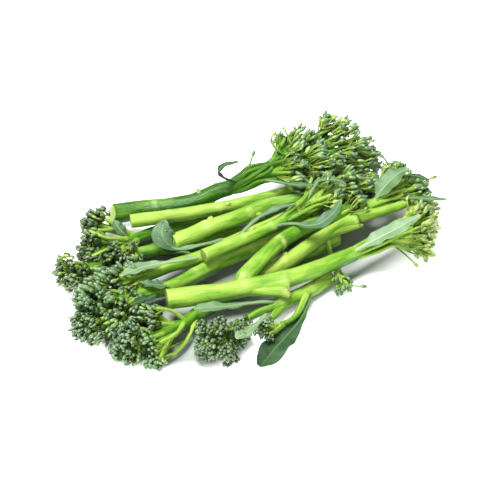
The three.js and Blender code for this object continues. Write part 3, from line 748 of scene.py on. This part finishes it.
stalkDetail = {"sides": 24, "shootSides": 12, "ribs": 0.045, "lumps": 0.06, "knobs": 0.012, "swell": 0.08,
               "node": 2.4, "heelSwell": 0.9, "rim": 0.09, "pithDepth": 0.35, "slant": 0.06}
# Stubs: radii at the root and the torn end, as shares of the stalk's for a heel, how ragged and how far out
stubKinds = {"heel": ((0.94, 0.78), 3.2, 0.33), "scar": ((3.4, 1.5), 1.6, 1), "spike": ((1.7, 0.7), 1.2, 1)}
stubDetail = {"sides": 14, "steps": 6, "flat": 0.8}
shadeRange = (-0.2, 1.3)  # lightest and deepest tone of the skin


def underShade(high):  # painted shade: undersides are painted a deeper green, as if in shadow
    return 0.4 * (0.35 - high)


def dressRing(ring, frame, layers, part, distance, share, length):
    grainLayer, skinLayer = layers
    seed = part["seed"]
    tone = part["tone"] + 0.1 + 0.6 * share ** 1.2 - 0.15 * (1 - share) ** 4
    turn = frame.to_3x3()
    spread = stalkDetail["node"] * mm
    nodes = [(math.exp(-((distance - at * length) / spread) ** 2), Vector(way).normalized(), strength)
             for at, way, strength in part.get("nodes", [])]
    heels = [((distance - s["at"] * length) / (s["heel"] * mm), Vector(s["way"]).normalized())
             for s in part.get("scars", []) if "heel" in s]
    for v in ring:
        local, around = unroll(frame, v)
        out = turn @ compass(around)
        ribs = math.cos(5 * around + seed + 7 * share) * 0.5
        ribs += math.cos(8 * around + 2 * seed - 9 * share) * 0.35
        lump = noise.noise(Vector((math.cos(around) * 1.2, math.sin(around) * 1.2, distance * 90 + seed * 7)))
        knob = noise.noise(Vector((math.cos(around) * 3, math.sin(around) * 3, distance * 330 + seed * 3)))
        grow = 1 + stalkDetail["ribs"] * ribs + stalkDetail["lumps"] * lump
        grow += stalkDetail["knobs"] * knob
        pale = 0
        for near, way, strength in nodes:
            facing = clamp(0.5 + 0.6 * out.dot(way))
            grow += stalkDetail["swell"] * strength * near * facing
            patch = 0.5 + 0.9 * noise.noise(Vector((around * 2, distance * 300, seed * 3)))
            pale = max(pale, strength * near ** 1.6 * clamp(2.2 * facing - 1.1) * clamp(patch + 0.1))
        for along, way in heels:
            if 0 < along < 1:
                grow += stalkDetail["heelSwell"] * (along * clamp(out.dot(way))) ** 1.4
        v.co = frame @ Vector((local.x * grow, local.y * grow, local.z))
        v[grainLayer] = Vector((math.cos(around) + seed * 5, math.sin(around), distance))
        # the tone carries painted shade: deeper green on the underside
        v[skinLayer] = Vector((clamp(tone + underShade(out.z), *shadeRange), clamp(pale), 0))


def cutFace(bm, ring, frame, layers, radius, slant):
    skinLayer = layers[1]
    face = next(f for f in ring[0].link_faces if len(f.verts) == len(ring))
    for v in ring:
        v[skinLayer] = Vector((v[skinLayer][0], 0.2, 0))
        local = frame.inverted() @ v.co
        v.co = frame @ Vector((local.x, local.y, -slant * local.y))
    steps = ((stalkDetail["rim"], 0, 0.1, 0.6), (0.4, -0.1, 0.1, 0.9), (0.2, -1, 0.5, 1))
    for thickness, share, pale, cut in steps:
        depth = share * stalkDetail["pithDepth"] * mm
        bmesh.ops.inset_region(bm, faces=[face], thickness=thickness * radius, depth=depth)
        for v in face.verts:
            v[skinLayer] = Vector((v[skinLayer][0], pale, cut))


def growStub(bm, part, at, way, layers, length, kind, scale=1):  # the base of a shoot that broke off
    radii, ragged, lean = stubKinds[kind]
    thick = [scale * r for r in radii]
    line, sides, last = part["line"], stubDetail["sides"], stubDetail["steps"]
    spot = min(round(at * (len(line) - 1)), len(line) - 2)
    ahead = (line[spot + 1] - line[spot]).normalized()
    way = (Vector(way).normalized() * lean + ahead).normalized()
    stub = [line[spot] + way * length * k / last for k in range(last + 1)]
    rings, frames = growTube(bm, stub, [mix(*thick, k / last) * mm for k in range(last + 1)], sides)
    for k, ring in enumerate(rings):
        for v in ring:
            flat, around = unroll(frames[k], v)
            torn = ragged * mm * (noise.noise(v.co * 1100) + 0.5 * math.sin(around)) if k == last else 0
            v.co = frames[k] @ Vector((flat.x, flat.y * stubDetail["flat"], torn))
            v[layers[0]] = Vector((math.cos(around) + part["seed"] * 5, math.sin(around), length * k / last))
            # painted shade: the stub's tone deepens towards its lower side
            shade = part["tone"] + 0.1 + 0.3 * (0.35 + math.sin(around))
            v[layers[1]] = Vector((shade, clamp(k - last + 1) * 0.9, 0))
    edge = [f for f in rings[-1][0].link_faces if len(f.verts) == sides]
    bmesh.ops.inset_region(bm, faces=edge, thickness=0.25 * thick[1] * mm, depth=-0.5 * mm)


def growTwig(bm, layers, own, line, radii, forks=2):  # a twig in the open, which forks on both sides
    count = len(line) - 1
    thick = [mix(*radii, k / count) * mm for k in range(count + 1)]
    rings, frames = growTube(bm, line, thick, stubDetail["sides"])
    tone = 0.5 * own["tone"] if forks else own["tone"] + 0.45
    for k, ring in enumerate(rings):
        for v in ring:
            v.co += (v.co - line[k]) * 0.3 * noise.noise(v.co * 240)
            out = (v.co - line[k]).normalized()
            v[layers[0]] = Vector((out.x + own["seed"], out.y, k * mm))
            # the tone carries painted shade: deeper green on the underside
            v[layers[1]] = Vector((clamp(tone - 0.2 * k / count + underShade(out.z), 0, shadeRange[1]), 0, 0))
    for fork in range(forks):
        start = line[round(count * mix(0.45, 0.72, fork))]
        aside = frames[count // 2].to_3x3() @ Vector((1 - 2 * fork, 0.3, 0)) * 4.2 * mm
        branch = bendThrough(start, start.lerp(line[-1], 0.6) + 0.6 * aside, line[-1] + aside, 8)
        growTwig(bm, layers, own, branch, (0.75 * radii[1], 0.5 * radii[1]), 0)


def growBranches(bm, part):  # the branches inside a head, and the bundle that runs to it
    grain, skin = newLayers(bm, "grain", "skin")
    steps = 8
    for start, bend, end, radius in branchesOf(part):
        line = bendThrough(start, bend, end, steps)
        flare = [1 + 0.35 * (1 - k / steps) ** 4 for k in range(steps + 1)]
        thick = [mix(*radius, k / steps) * mm * flare[k] for k in range(steps + 1)]
        for i, ring in enumerate(growTube(bm, line, thick, 9)[0]):
            for v in ring:
                v[grain] = v.co * 250
                v[skin] = Vector((clamp(0.5 * part["tone"] - 0.02 * i), 0, 0))
    for line in bundleOf(part):
        count = len(line) - 1
        thick = [mix(*bundleRadius, (k / count) ** 0.6) * mm for k in range(count + 1)]
        rings, frames = growTube(bm, line, thick, 10)
        for i, ring in enumerate(rings):
            for v in ring:
                local, around = unroll(frames[i], v)
                grow = 1 + 0.09 * math.cos(3 * around + 0.2 * i) + 0.12 * noise.noise(v.co * 160)
                v.co = frames[i] @ Vector((local.x * grow, local.y * grow, local.z))
                v[grain] = Vector((math.cos(around), math.sin(around), 2 * mm * i))
                # painted shade: the tone deepens towards the underside of each branch
                v[skin] = Vector((clamp(part["tone"] + 0.15 + 0.01 * i + 0.2 * local.y / thick[i]), 0, 0))


def growScars(bm, own, layers):
    for scar in own.get("scars", []):
        radius = stalkRadius(own, scar["at"])
        if "heel" in scar:
            growStub(bm, own, scar["at"], scar["way"], layers, scar["heel"] * mm, "heel", radius / mm)
        else:
            growStub(bm, own, scar["at"], scar["way"], layers, radius * 1.25 + 1.8 * mm, "scar")
    for at, way, length in own.get("spikes", []):
        growStub(bm, own, at, way, layers, stalkRadius(own, at) + length * mm, "spike")


def growStalk(own, *shoots):
    bm = bmesh.new()
    layers = newLayers(bm, "grain", "skin")
    for part in (own, *shoots):
        line, radii = part["line"], part["radii"]
        sides = stalkDetail["sides" if radii[0] > 3 * mm else "shootSides"]
        rings, frames = growTube(bm, line, radii, sides)
        length = sum((b - a).length for a, b in zip(line, line[1:]))
        for i, ring in enumerate(rings):
            share = i / (len(line) - 1)
            dressRing(ring, frames[i], layers, part, share * length, share, length)
        if not part["isShoot"]:
            slant = part.get("slant", stalkDetail["slant"] * scatter(part["seed"], 3))
            cutFace(bm, rings[0], frames[0], layers, radii[0], slant)
    growScars(bm, own, layers)
    for radii, route in own.get("twigs", []):
        growTwig(bm, layers, own, routeLine(route, mm), radii)
    for radii, route in own.get("limbs", []):
        growTwig(bm, layers, own, routeLine(route), radii, 0)
    for part in (own, *shoots):
        twigs = bmesh.new()
        growBranches(twigs, part)
        pourInto(bm, twigs)
    smoothFaces(bm, 4)
    name = "stalk_" + own["name"]
    finishPiece(bm, name + "_fine", [skinMaterial], [name])


for stemName in stems:
    growStalk(*[p for p in parts if p["stem"] == stemName])
print("stalks grown")


# Heads: buds in umbels, each bud but the inner ones of a tight umbel on its own pedicel, each umbel on a twig
# from the lobe's heart

# In a tight head, an umbel whose drawn shade is above limeFrom is lime, with only limeShare of its buds.
budDetail = {
    "small": (6, 4), "large": (8, 6), "point": 0.25, "seam": 0.08, "largeFrom": 2.6, "tightFrom": 0.36,
    "limeFrom": 0.62, "limeShare": 0.65, "smallBelow": 10.5, "stray": (2.6, 4.4), "strayThread": (0.8, 0.55),
}


def makeBudMesh(name, around, rings):  # a unit bud standing on z = 0 and pointed at z = 1
    bm = bmesh.new()
    layer, = newLayers(bm, "bud")
    bmesh.ops.create_uvsphere(bm, u_segments=around, v_segments=rings, radius=0.5)
    for v in bm.verts:
        high = v.co.z + 0.5
        slim = 1 - budDetail["point"] * high ** 2
        seam = abs(math.cos(2 * math.atan2(v.co.y, v.co.x)))
        pinch = 1 - budDetail["seam"] * seam
        v.co = Vector((v.co.x * slim * pinch, v.co.y * slim * pinch, high))
        v[layer] = Vector((0, high, seam))
    smoothFaces(bm)
    return meshOf(bm, name)


def makeThreadMesh(name, sides, steps):  # a unit tube from z = 0 to z = 1
    bm = bmesh.new()
    newLayers(bm, "skin")
    growTube(bm, [Vector((0, 0, k / steps)) for k in range(steps + 1)], [1] * (steps + 1), sides)
    bmesh.ops.recalc_face_normals(bm, faces=bm.faces)
    for f in bm.faces:
        f.smooth = len(f.verts) == 4
        f.material_index = 1
    return meshOf(bm, name)


smallBud = makeBudMesh("smallBud", *budDetail["small"])
largeBud = makeBudMesh("largeBud", *budDetail["large"])
thinThread = makeThreadMesh("thinThread", 3, 2)
longThread = makeThreadMesh("longThread", 4, 3)
twigThread = makeThreadMesh("twigThread", 6, 4)


def addBud(bm, layer, mesh, foot, way, width, length, chance):
    place = Matrix.Translation(foot) @ up.rotation_difference(way).to_matrix().to_4x4()
    place = place @ Matrix.Diagonal((width, width, length, 1))
    for v in addCopy(bm, mesh):
        v.co = place @ v.co
        v[layer] = Vector((chance, v[layer].y, v[layer].z))


def addThread(bm, layer, mesh, start, bend, end, thick, tone, shade=0.0):  # thick is its radius at both ends; shade is how much painted shade darkens it at the start
    ahead = (end - start).normalized()
    side = ahead.orthogonal().normalized()
    other = ahead.cross(side)
    for v in addCopy(bm, mesh):
        along = v.co.z
        radius = mix(*thick, along)
        spot = start.lerp(bend, along).lerp(bend.lerp(end, along), along)
        v.co = spot + side * v.co.x * radius + other * v.co.y * radius
        # the second value is the share of painted shade, darkest at the start
        v[layer] = Vector((tone, shade * (1 - along), 0))


def growUmbel(bm, layers, top, axis, size, look, small, heart, draw, isBlocked):
    height = look["height"] * small * draw.uniform(0.85, 1.1) * mm
    base = top - axis * height
    side = axis.orthogonal().normalized()
    other = axis.cross(side)
    width = look["width"] * mm * mix(small, 1, 0.5)
    count = max(1, round(look["fill"] * (2 * size / width) ** 2))
    spin, shade, grown = draw.uniform(0, 6.28), draw.random(), 0
    budMesh = largeBud if look["width"] > budDetail["largeFrom"] else smallBud
    isTight = look["core"] > budDetail["tightFrom"]
    isLime = not isTight or shade > budDetail["limeFrom"]
    if isLime and isTight:
        count = max(1, round(budDetail["limeShare"] * count))
    for j in range(count):
        rim, angle = math.sqrt((j + 0.3) / count), j * goldenAngle + spin
        flat = side * math.cos(angle) + other * math.sin(angle)
        tip = top + flat * rim * size - axis * look["dome"] * size * rim * rim
        tip += shake(draw) * look["wild"] * 1.6 * mm
        if isBlocked(tip):
            continue
        grow = 1 + draw.uniform(-look["spread"], look["spread"])
        length, wide = look["length"] * mm * grow * mix(small, 1, 0.5), width * (0.35 + 0.65 * grow)
        way = ((tip - base).normalized() * 0.7 + axis * 0.4 + shake(draw) * look["wild"]).normalized()
        foot = tip - way * length
        low = min(foot.z, tip.z) - 0.5 * wide
        foot.z -= min(0, low)
        addBud(bm, layers[0], budMesh, foot, way, wide, length, 0.45 * shade + 0.55 * draw.random())
        grown += 1
        if isTight and rim < 0.4:
            continue
        bend = base.lerp(foot, 0.6) + flat * 0.12 * height
        thick = (look["thread"] * mm, look["thread"] * 1.25 * mm)
        tone = draw.uniform(0, 0.5) + (0 if isLime else 0.6)
        end = foot + way * 0.15 * length
        threadMesh = thinThread if isTight else longThread
        # painted shade: the thread darkens towards the umbel's base, fully in umbels that are not lime
        addThread(bm, layers[1], threadMesh, base, bend, end, thick, tone, 0.6 if isLime else 1)
    if grown:
        bend = heart.lerp(base, 0.5) + shake(draw) * 0.5 * mm
        thick = (0.9 * mm * small, 0.55 * mm * small)
        tone = draw.uniform(0.1, 0.6)
        # painted shade: the twig darkens towards the lobe's heart
        addThread(bm, layers[1], twigThread, heart, bend, base + axis * 0.4 * mm, thick, tone, 0.5)


def growLobe(whole, clump, lobe, k, look, small, tops, draw, isBlocked):
    bm = bmesh.new()
    layers = newLayers(bm, "bud", "skin")
    reach, pitch = lobe["radius"], look["umbel"] * small * mm
    heart = lobe["middle"] - (lobe["middle"] - clump["root"]).normalized() * 0.3 * reach
    count = max(5, round(4 * math.pi * reach ** 2 / (0.87 * pitch ** 2)))
    for i in range(count):
        high = 1 - 2 * (i + 0.5) / count
        ring = math.sqrt(1 - high * high)
        around = i * goldenAngle + clump["seed"] + k
        out = Vector((ring * math.cos(around), ring * math.sin(around), high))
        out = (out + shake(draw) * 0.22).normalized()
        top = lobe["middle"] + out * reach * draw.uniform(0.88, 1.0)
        away = top - clump["middle"]
        if away.length < 0.7 * clump["radius"] or away.normalized().dot(clump["axis"]) < look["bare"]:
            continue
        if isBlocked(top) or any((top - t).length < 0.62 * pitch for t in tops):
            continue
        tops.append(top)
        axis = out * (1 - look["forward"]) + clump["axis"] * look["forward"]
        axis = (axis + shake(draw) * 0.12).normalized()
        size = 0.52 * pitch * draw.uniform(0.85, 1.1)
        growUmbel(bm, layers, top, axis, size, look, small, heart, draw, isBlocked)
    # the core stands in for the head's inner stems and is painted near-black as shade, so the gaps between
    # umbels read dark
    if look["core"]:
        middle = lobe["middle"] - lobe["way"] * 0.15 * reach
        core = bmesh.ops.create_icosphere(bm, subdivisions=2, radius=look["core"] * reach,
                                          matrix=Matrix.Translation(middle))["verts"]
        for v in core:
            v.co += (v.co - middle).normalized() * 0.5 * mm * noise.noise(v.co * 700)
            v.co.z = max(v.co.z, 0.5 * mm)
            # painted shade: deep tone and 0.85 of the near-black heart shade
            v[layers[1]] = Vector((1, 0.85, 0))
            for f in v.link_faces:
                f.material_index = 1
                f.smooth = True
    pourInto(whole, bm)


def growHead(part, earlier):
    draw = random.Random(round(part["seed"] * 100))
    bm = bmesh.new()
    newLayers(bm, "bud", "skin")
    tops = []
    for clump in part["bunch"]:
        look = headLooks[clump["look"]]
        small = clamp(clump["radius"] / (budDetail["smallBelow"] * mm), 0.65, 1)
        middle, radius = clump["middle"], clump["radius"]
        stalks = stalksNear(middle, 1.5 * radius)
        beside = [c for c in part["bunch"] if c is not clump and (c["middle"] - middle).length < 2.5 * radius]
        fromOthers = [c for c in earlier if (c["middle"] - middle).length < 1.3 * (c["radius"] + radius)]
        for k, lobe in enumerate(clump["lobes"]):
            rest = [o for o in clump["lobes"] if o is not lobe]

            def isBlocked(spot):
                if not 0.8 * mm < spot.z < cadBounds[1][2]:
                    return True
                if any((spot - o["middle"]).length < o["radius"] - 1.0 * mm for o in rest):
                    return True
                if any((spot - s).length < r + 0.4 * mm for s, r in stalks):
                    return True
                return insideHead(spot, beside, 1.2 * mm) or insideHead(spot, fromOthers, 0.2 * mm)

            growLobe(bm, clump, lobe, k, look, small, tops, draw, isBlocked)
    for route in part.get("strays", []):  # single buds that stand off the head on long pedicels
        start, end = spotOf(route[0]), spotOf(route[-1])
        bend = spotOf(route[1]) if len(route) > 2 else start.lerp(end, 0.5) + up * 1.2 * mm
        way = (end - bend).normalized()
        layers = (bm.verts.layers.float_vector["bud"], bm.verts.layers.float_vector["skin"])
        thick = [t * mm for t in budDetail["strayThread"]]
        width, length = (s * mm for s in budDetail["stray"])
        addThread(bm, layers[1], longThread, start, bend, end, thick, draw.uniform(0.6, 1))
        addBud(bm, layers[0], largeBud, end - way * 0.5 * mm, way, width, length, draw.random())
    name = "head_" + part["name"]
    nodes = [n for n in frame["nodes"] if n == name or n.startswith(name + "_side")]
    kind = "loose" if isLoose(part) else "tight"
    materials = [budMaterials[part["tint"]], twigMaterials[kind]]
    piece = finishPiece(bm, name + "_fine", materials, nodes)
    print(name, len(tops), "umbels", sum(len(f.vertices) - 2 for f in piece.data.polygons), "triangles")


earlierClumps = []
for part in parts:
    growHead(part, earlierClumps)
    earlierClumps += part["bunch"]
for mesh in (smallBud, largeBud, thinThread, longThread, twigThread):
    bpy.data.meshes.remove(mesh)
print("heads grown")


# Leaves

leafDetail = {"across": 14, "step": 1.1, "thickness": 0.45, "fold": 0.22, "ripple": 0.3, "petiole": 1.3,
              "rib": (1.25, 0.3)}


def leafWidth(leaf, share):
    petiole = leafDetail["petiole"]
    if share <= leaf["petiole"]:
        return petiole * mm
    along = (share - leaf["petiole"]) / (1 - leaf["petiole"])
    rib = petiole * (1 - 0.7 * along)
    blade = math.sin(math.pi * along ** 0.8) ** 0.8 * (1 - 0.15 * along)
    if leaf.get("blunt"):
        blade = min(1, 1.8 * along) * math.sqrt(1 - along ** 6)
    return (rib + (leaf["width"] / 2 - rib) * blade) * mm


def growLeaf(name, leaf, seed):
    line = routeLine(leaf["midrib"], leafDetail["step"] * mm)
    count = len(line) - 1
    bm = bmesh.new()
    layer, = newLayers(bm, "blade")
    bmesh.ops.create_grid(bm, x_segments=leafDetail["across"], y_segments=count, size=1)
    drops = []
    for v in bm.verts:
        out, row = v.co.x, round((v.co.y + 1) / 2 * count)
        share = row / count
        ahead = (line[min(row + 1, count)] - line[max(row - 1, 0)]).normalized()
        side = up.cross(ahead).normalized()
        face = ahead.cross(side).normalized()
        width = leafWidth(leaf, share)
        hand = math.copysign(1, out)
        edge = 1 + 0.12 * abs(out) * noise.noise(Vector((share * 9, seed, out))) * min(1, width / (2.5 * mm))
        wave = leaf["wave"] * abs(out) * math.sin(share * 19 + hand) * min(1, width / (4 * mm)) * mm
        curl = math.sin(share * 37 + seed + 2 * hand) * min(1, width / (3 * mm))
        lift = leafDetail["fold"] * width * abs(out) + wave + leafDetail["ripple"] * mm * out * out * curl
        v.co = line[row] + side * out * width * edge + face * lift
        v.co.z = max(v.co.z, 0.6 * mm)
        v[layer] = Vector((out, share, width / (leaf["width"] / 2 * mm)))
        if share > leaf["petiole"] + 0.05 and abs(out) < 0.8:
            drops.append((v.co.copy(), face.copy()))
    bmesh.ops.solidify(bm, geom=bm.faces, thickness=leafDetail["thickness"] * mm)
    ribRadii = [mix(*leafDetail["rib"], (i / count) ** 0.7) * mm for i in range(count + 1)]
    ribLine = [p - up * 0.35 * r for p, r in zip(line, ribRadii)]
    for i, ring in enumerate(growTube(bm, ribLine, ribRadii, 10)[0]):
        for v in ring:
            v.co.z = max(v.co.z, 0.3 * mm)
            v[layer] = Vector((0, i / count, 0.3))
    smoothFaces(bm)
    finishPiece(bm, name + "_fine", [leafMaterials[leaf.get("finish", "mid")]], [name])
    if leaf.get("drops"):
        growDrops(name, drops, leaf["drops"], seed)


def growDrops(name, spots, count, seed):  # water standing on the blade
    draw = random.Random(seed)
    bm = bmesh.new()
    for spot, face in draw.sample(spots, count):
        radius = draw.uniform(0.35, 0.95) * mm
        turn = up.rotation_difference(face).to_matrix().to_4x4()
        place = Matrix.Translation(spot + face * 0.35 * radius) @ turn @ Matrix.Diagonal((1, 1, 0.65, 1))
        bmesh.ops.create_uvsphere(bm, u_segments=12, v_segments=8, radius=radius, matrix=place)
    smoothFaces(bm)
    finishPiece(bm, name + "_drops", [waterMaterial], [])


for stemName, stem in stems.items():
    for i, leaf in enumerate(stem.get("leaves", [])):
        growLeaf("leaf_" + stemName + "_" + str(i + 1), leaf, stem["seed"] + i)
print("leaves grown")


# Floor, light and camera

# The floor glows like a light table, painted light that washes out the bunch's shadows, except in the ovals
# that the bunch covers, where it is painted a darker grey as shadow: x, y, half sizes (mm), turn.
stageDetail = {
    "floor": 6.0, "pale": (0.92, 0.92, 0.92, 1), "under": (0.34, 0.37, 0.34, 1), "key": 30, "fill": 15,
    "sky": 0.22, "glow": 0.82,
    "ovals": [(-1, 0, 108, 46, 26), (-41, -66, 40, 22, 0), (39, 64, 35, 22, 0), (-76, 20, 28, 16, 15)],
}


def makeFloor():
    sheet = NodeSheet("paleFloor")
    nearest = 9.0
    for x, y, wide, deep, turn in stageDetail["ovals"]:
        inputs = {"Vector": sheet.place(), "Location": (x * mm, y * mm, 0),
                  "Rotation": (0, 0, math.radians(turn)), "Scale": (wide * mm, deep * mm, 1)}
        spot = sheet.add("ShaderNodeMapping", inputs, vector_type="TEXTURE").outputs["Vector"]
        far = sheet.add("ShaderNodeVectorMath", {0: spot}, operation="LENGTH").outputs["Value"]
        nearest = sheet.math("MINIMUM", far, nearest)
    # painted light: outside the ovals the floor glows, which washes out the bunch's shadows
    glow = sheet.span(nearest, 0.92, 1.2, 0.0, stageDetail["glow"])
    # painted shadow: inside the ovals the floor turns to the darker grey
    colour = sheet.blend(sheet.span(nearest, 0.75, 1.1), stageDetail["under"], stageDetail["pale"])
    return sheet.finish(colour, 0.9, **{"Specular IOR Level": 0.1, "Emission Strength": glow})


bm = bmesh.new()
bmesh.ops.create_grid(bm, x_segments=1, y_segments=1, size=stageDetail["floor"] / 2)
floor = addObject("floor", meshOf(bm, "floor"))
floor.location.z = -0.2 * mm  # just under the lowest stalk
floor.data.materials.append(makeFloor())


def addLamp(name, place, target, size, power):
    lamp = bpy.data.lights.new(name, "AREA")
    lamp.shape, lamp.size, lamp.energy = "DISK", size, power
    holder = addObject(name, lamp)
    holder.location = place
    holder.rotation_euler = (Vector(target) - Vector(place)).to_track_quat("-Z", "Y").to_euler()


addLamp("keyLight", (-0.25, 0.0, 1.25), (0, 0, 0), 0.65, stageDetail["key"])
addLamp("fillLight", (-0.35, -1.4, 0.62), (0, 0, 0.02), 0.9, stageDetail["fill"])

world = bpy.data.worlds.new("softbox")
world.use_nodes = True
world.node_tree.nodes["Background"].inputs["Color"].default_value = (1, 1, 1, 1)
world.node_tree.nodes["Background"].inputs["Strength"].default_value = stageDetail["sky"]
bpy.context.scene.world = world
bpy.context.scene.view_settings.view_transform = "Standard"

viewDetail = {"elevation": 40, "distance": 1200, "lens": 144}
tilt = math.radians(viewDetail["elevation"])
camera = bpy.data.cameras.new("photoView")
camera.lens, camera.sensor_width = viewDetail["lens"], 36
camera.clip_start, camera.clip_end = 0.05, 20
viewer = addObject("photoView", camera)
back, high = viewDetail["distance"] * math.cos(tilt), viewDetail["distance"] * math.sin(tilt)
viewer.location = spotOf((0, -back, high))
viewer.rotation_euler = (math.pi / 2 - tilt, 0, 0)
bpy.context.scene.camera = viewer

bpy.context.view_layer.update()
made = [o for o in bpy.data.objects if o.type == "MESH" and o.name.endswith(("_fine", "_drops"))]
print("pieces finished,", sum(len(f.vertices) - 2 for o in made for f in o.data.polygons), "triangles")
